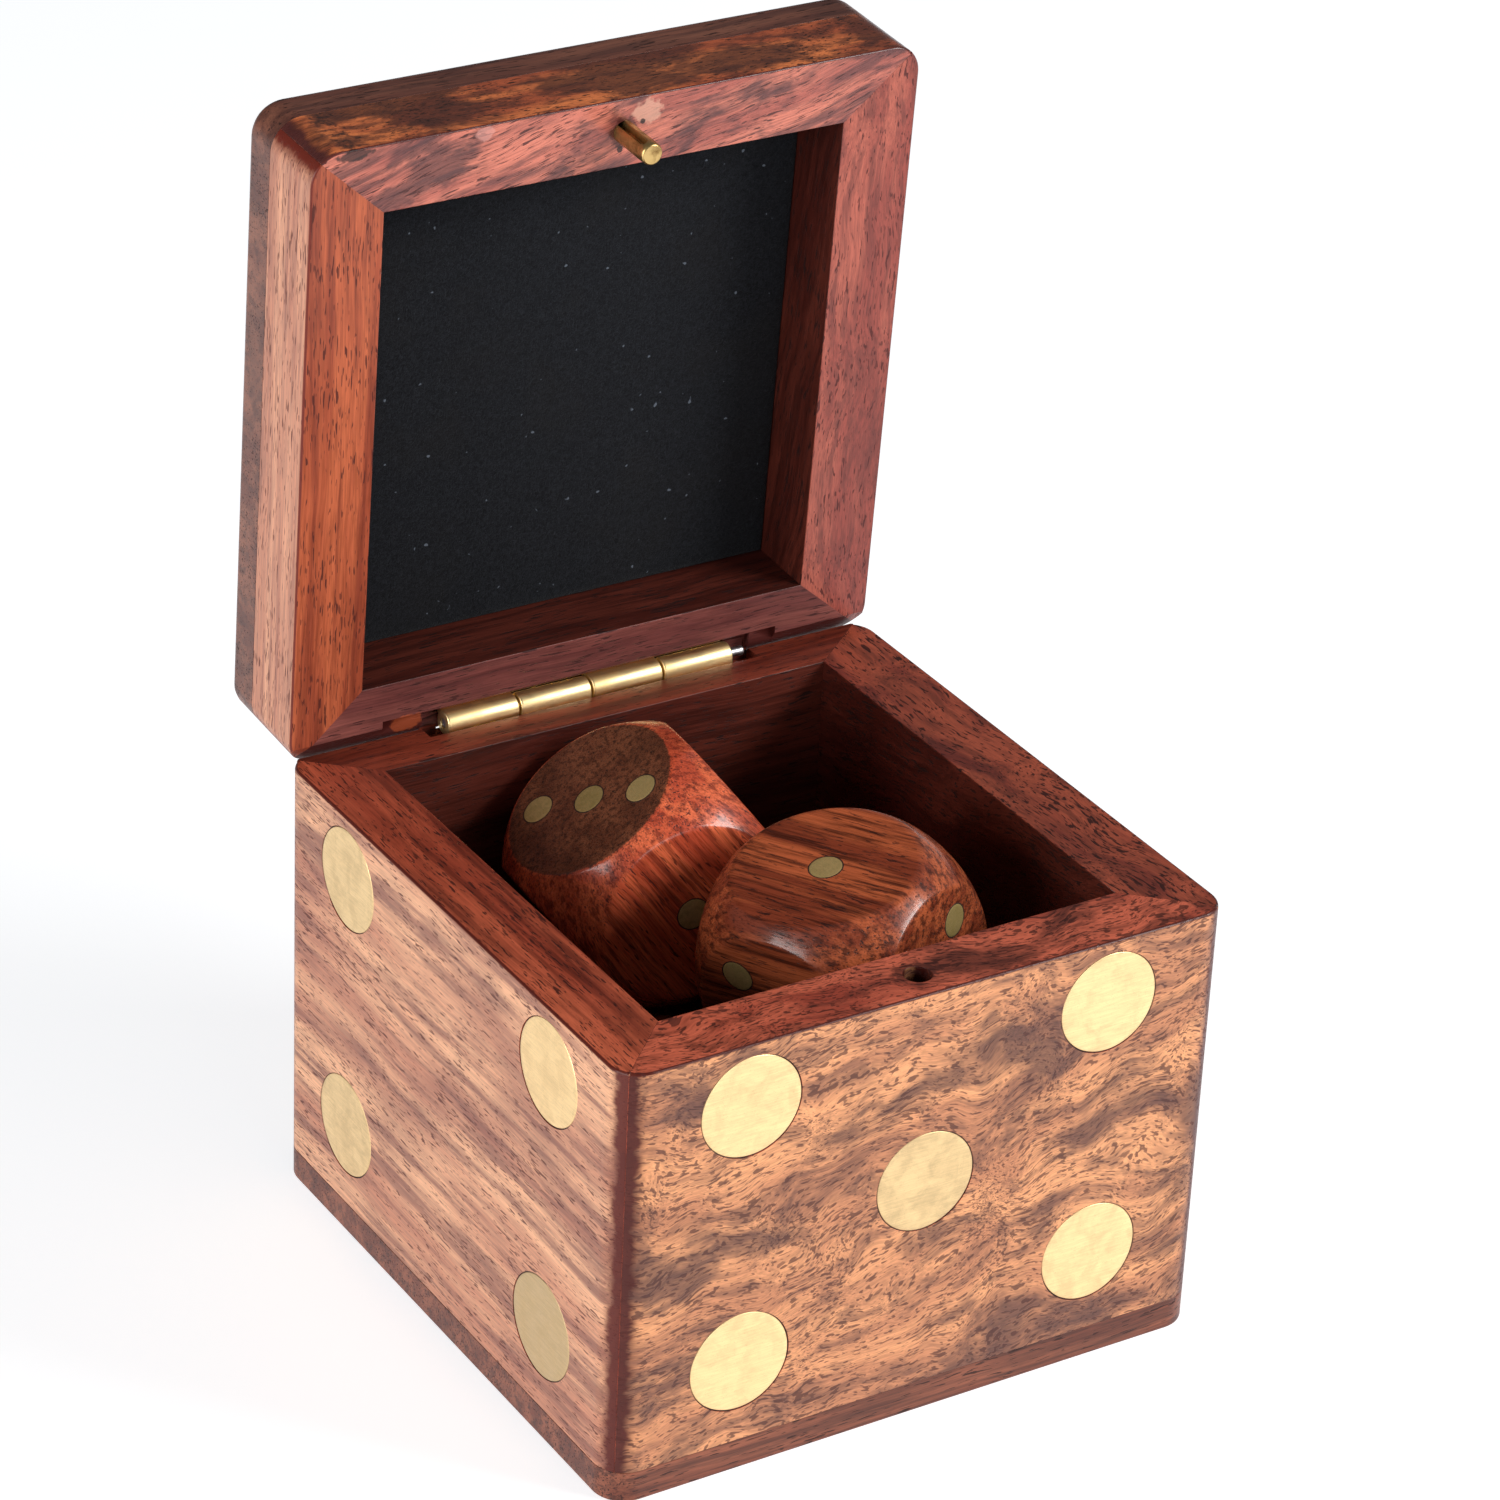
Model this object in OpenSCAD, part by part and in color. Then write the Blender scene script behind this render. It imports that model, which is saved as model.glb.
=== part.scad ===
// Dice box: a square wooden box made like a large die, with a hinged lid,
// brass pips, a brass hinge, a brass catch peg and five loose wooden dice.
// Millimetres. Origin at the centre of the underside of the base plate,
// X to the right, Y to the back, Z up. The lid is drawn open, on its stop.

/* [Box] */
// Outer width, left to right
box_w = 61.5; // [61:0.5:63]
// Outer depth, front to back
box_d = 61.5; // [61:0.5:63]
// Height of the open rim above the table
body_h = 43.6; // [43:0.1:46]
// Thickness of the base plate
base_t = 3.1; // [2.5:0.1:3.4]
// Thickness of the left wall, also in the lid
wall_l = 7.2; // [6.8:0.1:7.4]
// Thickness of the right wall, also in the lid
wall_r = 7.7; // [6.8:0.1:7.9]
// Thickness of the front wall
wall_f = 6.9; // [6:0.1:7]
// Thickness of the back wall
wall_b = 6.2; // [5.6:0.1:6.4]
// Radius of the upright corners
corner_r = 3.0; // [1.5:0.1:4]
// Thickness of the felt on the cavity floor
floor_felt_t = 0.7; // [0.4:0.1:0.8]
// Bevel on the back edge of the rim, behind the hinge
back_bevel = 0.7; // [0.6:0.05:0.9]

/* [Lid] */
// Height of the mitred lid frame
frame_h = 7.6; // [7.2:0.1:9]
// Thickness of the top panel
panel_t = 4.4; // [3:0.1:6]
// Thickness of the front wall of the lid
lid_wall_f = 6.6; // [6:0.1:7]
// Thickness of the back wall of the lid
lid_wall_b = 6.8; // [6.4:0.1:7]
// Thickness of the felt lining with its card
lid_felt_t = 0.65; // [0.4:0.05:1]
// Gap between the closed rims
rim_gap = 0.1; // [0.05:0.05:0.2]
// How far the lid stands open
open_deg = 86.3; // [0:0.1:86.3]
// Width of the bevel on the lid's back edge
lid_bevel_y = 2.15; // [2:0.05:2.6]
// Height of the bevel on the lid's back edge
lid_bevel_z = 1.3; // [1.2:0.05:1.9]

/* [Pips] */
// Diameter of a brass pip on the box
pip_d = 10.0; // [8:0.1:10.5]
// Depth of a pip in the wood
pip_t = 1.4; // [1:0.1:1.4]
// Distance of the outer pips from the middle, sideways
pip_x = 18.2; // [16:0.1:19]
// Distance of the outer pips from the middle, up and down
pip_z = 13.0; // [11:0.1:13.5]
// Height of the middle of the pip pattern
pip_mid = 24.4; // [23.5:0.1:25]

/* [Hinge and catch] */
// Outer radius of the hinge barrel
barrel_r = 1.2; // [1.1:0.05:1.25]
// Radius of the hinge pin
pin_r = 0.5; // [0.4:0.05:0.55]
// Thickness of the hinge leaf
leaf_t = 0.65; // [0.5:0.05:0.7]
// Length of the hinge barrel
barrel_len = 30.5; // [28:0.5:32]
// How far the hinge axis lies in front of the back face
axis_in = 1.05; // [1:0.05:1.2]
// How far the hinge axis lies above the rim
axis_up = 0.25; // [0.2:0.05:0.35]
// Radius of the catch peg
peg_r = 1.05; // [0.8:0.05:1.1]
// How far the catch peg stands out of the lid rim
peg_out = 5.0; // [3:0.1:5.5]

/* [Dice] */
// Edge length of a die
die_edge = 20.0; // [18:0.1:20]
// Diameter of the ball that rounds a die's corners
die_ball = 26.4; // [25:0.1:27]
// Diameter of a pip on a die
die_pip_d = 3.1; // [2:0.1:3.4]
// Distance of a die's outer pips from the middle of a face
die_pip_off = 4.0; // [3.4:0.1:4.4]

/* [Hidden] */
$fn = 64;
big = 200;

hw = box_w / 2;
hd = box_d / 2;
axis_y = hd - axis_in;
axis_z = body_h + axis_up;
lid_z = body_h + rim_gap;
lid_top = lid_z + frame_h + panel_t;

// knuckles, from the left: lid, box, lid, box
barrel_x0 = 0.3 - barrel_len / 2;
barrel_x1 = 0.3 + barrel_len / 2;
knuckle_gap = 0.12;
knuckle_len = (barrel_len - 3 * knuckle_gap) / 4;
function knuckle_x(i) = barrel_x0 + i * (knuckle_len + knuckle_gap);
bore_r = pin_r + 0.03;
groove_r = barrel_r + 0.25;
groove_x0 = barrel_x0 - 2.0;
groove_x1 = barrel_x1 + 2.5;
leaf_drop = 8.0;
leaf_rise = 6.4;
slit = 0.05;

// lid rebate beside the hinge
rebate_x0 = -21.3;
rebate_x1 = 20.6;
rebate_z = 0.5;
rebate_y = 2.9;

peg_y = -hd + wall_f / 2 - 0.25;
peg_in = 5.0;

wood_a = [0.55, 0.30, 0.20];
wood_b = [0.62, 0.38, 0.27];
wood_c = [0.42, 0.20, 0.14];
brass = [0.83, 0.69, 0.42];
steel = [0.70, 0.71, 0.73];
felt = [0.05, 0.05, 0.06];

// where the dice lie: position of the middle, turn, signs of the two- and three-pip rows
dice = [
    [[-11.17, -2.28, 13.9], [90, 0, 8.3], 1, 1],
    [[9.67, 12.57, 13.9], [0, 90, -12.6], 1, -1],
    [[12.06, -11.55, 13.9], [0, 180, 4.6], -1, 1],
    [[-2.67, 13.11, 34.16], [36.27, -1.49, -95.34], 1, 1],
    [[4.25, -9.45, 34.65], [-66.63, -76.67, -177.85], -1, -1]
];

// ---- shared shapes ----

module plan(r = corner_r) {
    square([box_w - 2 * r, box_d], center = true);
    square([box_w, box_d - 2 * r], center = true);
    for (sx = [-1, 1], sy = [-1, 1])
        translate([sx * (hw - r), sy * (hd - r)]) circle(r = r);
}

// prism along X from a profile in the Y-Z plane
module along_x(pts, x0, x1)
    translate([x0, 0, 0]) rotate([90, 0, 90]) linear_extrude(height = x1 - x0) polygon(pts);

// one mitred wall of a frame; side: 0 front, 1 right, 2 back, 3 left
module mitred(side, z0, h, wf, wb) {
    fl = [-hw, -hd]; fr = [hw, -hd]; br = [hw, hd]; bl = [-hw, hd];
    ifl = [-hw + wall_l, -hd + wf]; ifr = [hw - wall_r, -hd + wf];
    ibr = [hw - wall_r, hd - wb]; ibl = [-hw + wall_l, hd - wb];
    quads = [[fl, fr, ifr, ifl], [fr, br, ibr, ifr], [br, bl, ibl, ibr], [bl, fl, ifl, ibl]];
    translate([0, 0, z0]) intersection() {
        linear_extrude(height = h) plan();
        linear_extrude(height = h) polygon(quads[side]);
    }
}

// turns what is drawn closed to the open position of the lid
module opened()
    translate([0, axis_y, axis_z]) rotate([-open_deg, 0, 0]) translate([0, -axis_y, -axis_z]) children();

module body_bevel()
    along_x([[hd - back_bevel, body_h], [hd, body_h - back_bevel], [hd + 1, body_h - back_bevel],
             [hd + 1, body_h + 1], [hd - back_bevel, body_h + 1]], -hw - 1, hw + 1);

module lid_bevel()
    along_x([[hd - lid_bevel_y, lid_z], [hd, lid_z + lid_bevel_z], [hd + 1, lid_z + lid_bevel_z],
             [hd + 1, lid_z - 1], [hd - lid_bevel_y, lid_z - 1]], -hw - 1, hw + 1);

module barrel_groove()
    translate([groove_x0, axis_y, axis_z]) rotate([0, 90, 0]) cylinder(r = groove_r, h = groove_x1 - groove_x0);

// ---- pips ----

// centres in a face's own plane: sideways, upwards from the middle
function face_pips(n) =
    n == 2 ? [[-1, 1], [1, -1]] :
    n == 3 ? [[-1, 1], [0, 0], [1, -1]] :
    n == 4 ? [[-1, 1], [1, 1], [-1, -1], [1, -1]] :
    n == 5 ? [[-1, 1], [1, 1], [0, 0], [-1, -1], [1, -1]] :
    [[-1, 1], [1, 1], [-1, 0], [1, 0], [-1, -1], [1, -1]];

// discs set in an upright face, seen from outside; turn 0 is the front face
module side_discs(n, turn, half, t = pip_t)
    rotate([0, 0, turn]) for (p = face_pips(n))
        translate([p[0] * pip_x, -half, pip_mid + p[1] * pip_z]) rotate([-90, 0, 0]) cylinder(d = pip_d, h = t);

module top_discs(t = pip_t)
    for (p = face_pips(6))
        translate([p[1] * pip_x, p[0] * pip_x * 0.93, lid_top - t]) cylinder(d = pip_d, h = t);

module front_pips() color(brass) side_discs(5, 0, hd);
module right_pips() color(brass) side_discs(3, 90, hw);
module back_pips() color(brass) side_discs(2, 180, hd);
module left_pips() color(brass) side_discs(4, 270, hw);
module lid_pips() color(brass) opened() top_discs();

// ---- body ----

module base_plate() color(wood_c) linear_extrude(height = base_t) plan();

module front_wall() color(wood_a) difference() {
    mitred(0, base_t, body_h - base_t, wall_f, wall_b);
    side_discs(5, 0, hd);
    translate([0, peg_y, body_h - 7]) cylinder(r = peg_r + 0.25, h = 8);
}

module right_wall() color(wood_a) difference() {
    mitred(1, base_t, body_h - base_t, wall_f, wall_b);
    side_discs(3, 90, hw);
    body_bevel();
}

module left_wall() color(wood_b) difference() {
    mitred(3, base_t, body_h - base_t, wall_f, wall_b);
    side_discs(4, 270, hw);
    body_bevel();
}

module back_wall() color(wood_b) difference() {
    mitred(2, base_t, body_h - base_t, wall_f, wall_b);
    side_discs(2, 180, hd);
    body_bevel();
    barrel_groove();
    // saw kerf for the hinge leaf
    translate([barrel_x0 - 0.3, axis_y - barrel_r - slit, body_h - leaf_drop - 0.3])
        cube([barrel_len + 0.6, leaf_t + 2 * slit, leaf_drop + 1]);
}

module floor_lining() color(felt)
    translate([-hw + wall_l + 0.15, -hd + wall_f + 0.15, base_t])
        cube([box_w - wall_l - wall_r - 0.3, box_d - wall_f - wall_b - 0.3, floor_felt_t]);

// ---- hinge ----

module knuckle(i) difference() {
    union() {
        translate([knuckle_x(i), 0, 0]) rotate([0, 90, 0]) cylinder(r = barrel_r, h = knuckle_len);
        translate([knuckle_x(i), -barrel_r, -0.9]) cube([knuckle_len, leaf_t, 0.9]);
    }
    translate([knuckle_x(i) - 1, 0, 0]) rotate([0, 90, 0]) cylinder(r = bore_r, h = knuckle_len + 2);
}

// a leaf with its knuckles, hanging down from the axis
module leaf(first, depth) {
    difference() {
        translate([barrel_x0, -barrel_r, -depth]) cube([barrel_len, leaf_t, depth - 1.45]);
        for (x = [barrel_x0 + 5, barrel_x1 - 5])
            translate([x, 0, -depth + 2]) rotate([90, 0, 0]) cylinder(d = 1.6, h = 5, center = true);
    }
    for (i = [first, first + 2]) {
        knuckle(i);
        translate([knuckle_x(i), -barrel_r, -1.5]) cube([knuckle_len, leaf_t, 0.7]);
    }
}

module hinge_leaf_box() color(brass) translate([0, axis_y, axis_z]) leaf(1, leaf_drop);

module hinge_leaf_lid() color(brass) opened()
    translate([0, axis_y, axis_z]) mirror([0, 0, 1]) leaf(0, leaf_rise);

module hinge_pin() color(steel)
    translate([barrel_x0 + 0.1, axis_y, axis_z]) rotate([0, 90, 0]) cylinder(r = pin_r, h = barrel_len + 1.6);

// ---- lid ----

module lid_panel() color(wood_c) opened() difference() {
    translate([0, 0, lid_z + frame_h]) linear_extrude(height = panel_t) plan();
    top_discs();
}

module lid_front_wall() color(wood_a) opened() difference() {
    mitred(0, lid_z, frame_h, lid_wall_f, lid_wall_b);
    translate([0, peg_y, lid_z - 1]) cylinder(r = peg_r, h = peg_in + 1);
}

module lid_right_wall() color(wood_a) opened() difference() {
    mitred(1, lid_z, frame_h, lid_wall_f, lid_wall_b);
    lid_bevel();
}

module lid_left_wall() color(wood_b) opened() difference() {
    mitred(3, lid_z, frame_h, lid_wall_f, lid_wall_b);
    lid_bevel();
}

module lid_back_wall() color(wood_b) opened() difference() {
    mitred(2, lid_z, frame_h, lid_wall_f, lid_wall_b);
    lid_bevel();
    barrel_groove();
    // saw kerf for the hinge leaf
    translate([barrel_x0 - 0.3, axis_y - barrel_r - slit, lid_z - 1])
        cube([barrel_len + 0.6, leaf_t + 2 * slit, leaf_rise + 1.5]);
    // shallow rebate beside the barrel
    translate([rebate_x0, hd - rebate_y, lid_z - 1]) cube([rebate_x1 - rebate_x0, rebate_y + 1, rebate_z + 1]);
}

module lid_lining() color(felt) opened()
    translate([-hw + wall_l + 0.1, -hd + lid_wall_f + 0.1, lid_z + frame_h - lid_felt_t])
        cube([box_w - wall_l - wall_r - 0.2, box_d - lid_wall_f - lid_wall_b - 0.2, lid_felt_t]);

// folded brass strip: two legs that meet in a filed tip
module catch_peg() color(brass) opened() translate([0, peg_y, lid_z]) difference() {
    union() {
        translate([0, 0, -peg_out + 0.45]) cylinder(r = peg_r, h = peg_out + peg_in - 0.45);
        translate([0, 0, -peg_out]) cylinder(r1 = peg_r - 0.35, r2 = peg_r, h = 0.45);
    }
    translate([-0.16, -2, -peg_out + 1.2]) cube([0.32, 4, peg_out + peg_in]);
}

// ---- dice ----

module die_place(k) translate(dice[k][0]) rotate(dice[k][1]) children();

// pips of one die: 1 on +X, 2 on +Y, 3 on +Z, opposite faces make seven
module die_discs(s2, s3) {
    e = die_edge / 2;
    o = die_pip_off;
    d = 1.2;
    rotate([0, 90, 0]) translate([0, 0, e - d]) cylinder(d = die_pip_d, h = d);
    for (k = [-1, 1]) translate([k * o, e, s2 * k * o]) rotate([90, 0, 0]) cylinder(d = die_pip_d, h = d);
    for (k = [-1, 0, 1]) translate([k * o, s3 * k * o, e - d]) cylinder(d = die_pip_d, h = d);
    for (i = [-1, 1], j = [-1, 1]) translate([i * o, j * o, -e]) cylinder(d = die_pip_d, h = d);
    for (p = [[-1, -1], [-1, 1], [0, 0], [1, -1], [1, 1]])
        translate([p[0] * o, -e, p[1] * o]) rotate([-90, 0, 0]) cylinder(d = die_pip_d, h = d);
    for (i = [-1, 1], j = [-1, 0, 1]) translate([-e, i * o, j * o]) rotate([0, 90, 0]) cylinder(d = die_pip_d, h = d);
}

module die_wood(k) color(wood_c) die_place(k) difference() {
    intersection() {
        cube(die_edge, center = true);
        sphere(d = die_ball, $fn = 96);
    }
    die_discs(dice[k][2], dice[k][3]);
}

module die_brass(k) color(brass) die_place(k) die_discs(dice[k][2], dice[k][3]);

module die_1() die_wood(0);
module die_1_pips() die_brass(0);
module die_2() die_wood(1);
module die_2_pips() die_brass(1);
module die_3() die_wood(2);
module die_3_pips() die_brass(2);
module die_4() die_wood(3);
module die_4_pips() die_brass(3);
module die_5() die_wood(4);
module die_5_pips() die_brass(4);

base_plate();
front_wall();
back_wall();
left_wall();
right_wall();
floor_lining();
front_pips();
left_pips();
right_pips();
back_pips();
hinge_leaf_box();
hinge_leaf_lid();
hinge_pin();
lid_panel();
lid_front_wall();
lid_back_wall();
lid_left_wall();
lid_right_wall();
lid_lining();
lid_pips();
catch_peg();
die_1();
die_1_pips();
die_2();
die_2_pips();
die_3();
die_3_pips();
die_4();
die_4_pips();
die_5();
die_5_pips();
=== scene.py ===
import math

import bmesh
import bpy
import numpy as np
from mathutils import Euler, Matrix, Vector, noise


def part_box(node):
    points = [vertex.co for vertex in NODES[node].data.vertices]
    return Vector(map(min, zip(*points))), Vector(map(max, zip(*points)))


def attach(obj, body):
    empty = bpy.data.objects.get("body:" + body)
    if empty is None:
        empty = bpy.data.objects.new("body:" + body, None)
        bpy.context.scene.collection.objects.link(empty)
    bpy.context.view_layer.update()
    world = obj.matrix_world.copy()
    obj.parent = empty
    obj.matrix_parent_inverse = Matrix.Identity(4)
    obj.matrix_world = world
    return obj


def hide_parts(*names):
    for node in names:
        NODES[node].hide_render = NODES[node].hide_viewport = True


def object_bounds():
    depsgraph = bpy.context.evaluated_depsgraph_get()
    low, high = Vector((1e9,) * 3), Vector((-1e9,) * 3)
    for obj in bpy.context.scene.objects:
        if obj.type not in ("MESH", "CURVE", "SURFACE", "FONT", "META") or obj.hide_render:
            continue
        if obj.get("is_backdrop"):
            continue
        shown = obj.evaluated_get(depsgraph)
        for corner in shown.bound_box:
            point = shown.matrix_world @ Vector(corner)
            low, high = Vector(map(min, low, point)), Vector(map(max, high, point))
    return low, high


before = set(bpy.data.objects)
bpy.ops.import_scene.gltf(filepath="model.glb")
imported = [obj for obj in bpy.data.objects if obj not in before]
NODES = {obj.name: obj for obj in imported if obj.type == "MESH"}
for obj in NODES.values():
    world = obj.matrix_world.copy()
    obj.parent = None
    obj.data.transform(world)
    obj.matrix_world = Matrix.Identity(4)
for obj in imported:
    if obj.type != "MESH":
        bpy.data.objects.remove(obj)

CAD_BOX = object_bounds()
MM = 0.001

# sizes repeated from the CAD source, in millimetres
W, D, BODY_H, BASE_T = 61.5, 61.5, 43.6, 3.1
HW, HD = W / 2, D / 2
AXIS_Y, AXIS_Z = HD - 1.05, BODY_H + 0.25
OPEN = math.radians(86.3)
LID_Z = BODY_H + 0.1
LID_TOP = LID_Z + 7.6 + 4.4
PIP_R = 5.0
BARREL_R, BARREL_X0, BARREL_LEN, KNUCKLE_GAP = 1.2, 0.3 - 30.5 / 2, 30.5, 0.12
PEG_R, PEG_OUT = 1.05, 5.0
DICE = [
    ((-11.17, -2.28, 13.9), (90, 0, 8.3), 1, 1),
    ((9.67, 12.57, 13.9), (0, 90, -12.6), 1, -1),
    ((12.06, -11.55, 13.9), (0, 180, 4.6), -1, 1),
    ((-2.67, 13.11, 34.16), (36.27, -1.49, -95.34), 1, 1),
    ((4.25, -9.45, 34.65), (-66.63, -76.67, -177.85), -1, -1),
]

scene = bpy.context.scene
scene.view_settings.view_transform = "Standard"
scene.view_settings.look = "None"


# ------------------------------------------------------------------ helpers

def link_new(name, mesh):
    o = bpy.data.objects.new(name, mesh)
    scene.collection.objects.link(o)
    return o


def settle(o, angle=32.0, weighted=True):
    """Applies the modifiers, then sets smooth shading with sharp edges over the angle."""
    dg = bpy.context.evaluated_depsgraph_get()
    dg.update()
    me = bpy.data.meshes.new_from_object(o.evaluated_get(dg), preserve_all_data_layers=True, depsgraph=dg)
    o.modifiers.clear()
    old = o.data
    o.data = me
    bpy.data.meshes.remove(old)
    for p in me.polygons:
        p.use_smooth = True
    me.set_sharp_from_angle(angle=math.radians(angle))
    if weighted:
        m = o.modifiers.new("normals", "WEIGHTED_NORMAL")
        m.mode = "FACE_AREA"
        m.keep_sharp = True
        m.weight = 80
    return o


def clean_copy(node, cuts=()):
    """A copy of a CAD node's mesh with its flat faces joined. cuts are (axis, millimetres): planes through the middles of
    round holes, where the faces stay divided so that none of them has a hole."""
    bm = bmesh.new()
    bm.from_mesh(NODES[node].data)
    bmesh.ops.remove_doubles(bm, verts=bm.verts, dist=2e-6)
    for axis, at in cuts:
        co, no = Vector((0, 0, 0)), Vector((0, 0, 0))
        co[axis], no[axis] = at * MM, 1
        cut = bmesh.ops.bisect_plane(bm, geom=bm.verts[:] + bm.edges[:] + bm.faces[:], dist=1e-7, plane_co=co, plane_no=no)
        for e in cut["geom_cut"]:
            if isinstance(e, bmesh.types.BMEdge):
                e.seam = True
    bmesh.ops.dissolve_limit(bm, angle_limit=math.radians(0.4), verts=bm.verts, edges=bm.edges,
                             use_dissolve_boundaries=False, delimit={"SEAM"})
    for f in bm.faces:
        f.material_index = 0
    return bm


def unopen(p):
    """A point of the open lid, taken back to where it is on the closed lid."""
    y, z = p.y / MM - AXIS_Y, p.z / MM - AXIS_Z
    c, s = math.cos(OPEN), math.sin(OPEN)
    return Vector((p.x / MM, AXIS_Y + y * c - z * s, AXIS_Z + y * s + z * c))


def opened(p):
    """A point of the closed lid, in millimetres, taken to the open pose, in metres."""
    y, z = p[1] - AXIS_Y, p[2] - AXIS_Z
    c, s = math.cos(-OPEN), math.sin(-OPEN)
    return Vector((p[0], AXIS_Y + y * c - z * s, AXIS_Z + y * s + z * c)) * MM


def bevelled(node, name, body, slot, material, size, pick, segments=3, lid=False, cuts=()):
    """A copy of a CAD node with its edges eased. pick(a, b) gives an edge's share of size, from its two ends in millimetres."""
    bm = clean_copy(node, cuts)
    layer = bm.edges.layers.float.new("bevel_weight_edge")
    for e in bm.edges:
        if len(e.link_faces) != 2 or e.calc_face_angle(0) < math.radians(25):
            continue
        a, b = (unopen(v.co) if lid else v.co / MM for v in e.verts)
        e[layer] = pick(a, b)
    me = bpy.data.meshes.new(name)
    bm.to_mesh(me)
    bm.free()
    o = link_new(name, me)
    m = o.modifiers.new("bevel", "BEVEL")
    m.width = size * MM
    m.segments = segments
    m.limit_method = "WEIGHT"
    m.offset_type = "OFFSET"
    m.use_clamp_overlap = False
    m.loop_slide = False
    m.harden_normals = False
    m.miter_outer = "MITER_SHARP"
    settle(o)
    o.data.materials.clear()
    o.data.materials.append(material)
    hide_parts(node)
    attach(o, body)
    return o


def add_mesh(name, verts, faces, materials, body, replaces=(), angle=32.0, indices=None, tone=None, weighted=False):
    me = bpy.data.meshes.new(name)
    me.from_pydata([tuple(v) for v in verts], [], faces)
    me.update()
    o = link_new(name, me)
    for m in materials:
        me.materials.append(m)
    if indices is not None:
        me.polygons.foreach_set("material_index", indices)
    if tone is not None:
        a = me.attributes.new("tone", "FLOAT", "POINT")
        a.data.foreach_set("value", np.array(tone, np.float32))
    for p in me.polygons:
        p.use_smooth = True
    me.set_sharp_from_angle(angle=math.radians(angle))
    if weighted:
        m = o.modifiers.new("normals", "WEIGHTED_NORMAL")
        m.keep_sharp = True
    if replaces:
        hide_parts(*replaces)
    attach(o, body)
    return o


# ---------------------------------------------------------------- materials

class Net:
    """A small wrapper that builds a node tree from expressions."""

    def __init__(self, name):
        self.mat = bpy.data.materials.new(name)
        self.mat.use_nodes = True
        self.t = self.mat.node_tree
        self.t.nodes.clear()
        self.out = self.t.nodes.new("ShaderNodeOutputMaterial")
        self.bsdf = self.t.nodes.new("ShaderNodeBsdfPrincipled")
        self.t.links.new(self.bsdf.outputs[0], self.out.inputs[0])

    def put(self, socket, value):
        if isinstance(value, bpy.types.NodeSocket):
            self.t.links.new(value, socket)
        elif value is not None:
            socket.default_value = value

    def node(self, kind, inputs=(), **props):
        n = self.t.nodes.new(kind)
        for k, v in props.items():
            setattr(n, k, v)
        for k, v in dict(inputs).items():
            self.put(n.inputs[k], v)
        return n

    def math(self, op, a, b=None, c=None, clamp=False):
        n = self.t.nodes.new("ShaderNodeMath")
        n.operation = op
        n.use_clamp = clamp
        for i, v in enumerate((a, b, c)):
            if v is not None:
                self.put(n.inputs[i], v)
        return n.outputs[0]

    def vec(self, op, a, b=None, scale=None):
        n = self.t.nodes.new("ShaderNodeVectorMath")
        n.operation = op
        self.put(n.inputs[0], a)
        if b is not None:
            self.put(n.inputs[1], b)
        if scale is not None:
            self.put(n.inputs[3], scale)
        return n.outputs["Value"] if op in ("DOT_PRODUCT", "LENGTH", "DISTANCE") else n.outputs[0]

    def noise(self, v, scale=1.0, detail=2.0, rough=0.5, distortion=0.0, out=0):
        n = self.node("ShaderNodeTexNoise", {"Vector": v, "Scale": scale, "Detail": detail, "Roughness": rough, "Distortion": distortion})
        return n.outputs[out]

    def ramp(self, fac, lo, hi, to_lo=0.0, to_hi=1.0, smooth=True):
        n = self.t.nodes.new("ShaderNodeMapRange")
        n.interpolation_type = "SMOOTHSTEP" if smooth else "LINEAR"
        for i, v in enumerate((fac, lo, hi, to_lo, to_hi)):
            self.put(n.inputs[i], v)
        return n.outputs[0]

    def mix(self, fac, a, b, mode="MIX"):
        n = self.t.nodes.new("ShaderNodeMix")
        n.data_type = "RGBA"
        n.blend_type = mode
        self.put(n.inputs[0], fac)
        self.put(n.inputs[6], a)
        self.put(n.inputs[7], b)
        return n.outputs[2]

    def bump(self, height, strength, distance):
        n = self.node("ShaderNodeBump", {"Height": height, "Strength": strength, "Distance": distance})
        return n.outputs[0]


def srgb(r, g, b):
    """A display colour from 0 to 255 as a linear colour."""
    def f(c):
        c /= 255
        return c / 12.92 if c <= 0.04045 else ((c + 0.055) / 1.055) ** 2.4
    return (f(r), f(g), f(b), 1.0)


def own_frame(net, kind):
    """Coordinates in millimetres and normal in the piece's own frame: "box", "lid" (closed) or a die's number."""
    tc = net.t.nodes.new("ShaderNodeTexCoord")
    if kind == "box":
        rot, loc = Euler((0, 0, 0)), Vector((0, 0, 0))
    elif kind == "lid":
        c = Vector((0, AXIS_Y, AXIS_Z)) * MM
        r = Matrix.Rotation(OPEN, 3, "X")
        rot, loc = r.to_euler("XYZ"), c - r @ c
    else:
        centre, turn = DICE[kind][:2]
        r = Euler([math.radians(a) for a in turn], "XYZ").to_matrix().transposed()
        rot, loc = r.to_euler("XYZ"), -(r @ (Vector(centre) * MM))
    m = net.node("ShaderNodeMapping", {"Vector": tc.outputs["Object"], "Location": loc, "Rotation": rot}, vector_type="POINT")
    n = net.node("ShaderNodeMapping", {"Vector": tc.outputs["Normal"], "Rotation": rot}, vector_type="VECTOR")
    return net.vec("SCALE", m.outputs[0], scale=1000.0), n.outputs[0]


# the colour of the painted shade at the turn from rim to face: a darker, redder copy of the rim palette
def turn_shade_colour(palette):
    return tuple(k * (0.10 * a + 0.65 * b) for k, a, b in zip((1.0, 0.6, 0.5), palette[1][:3], palette[2][:3])) + (1.0,)


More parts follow.
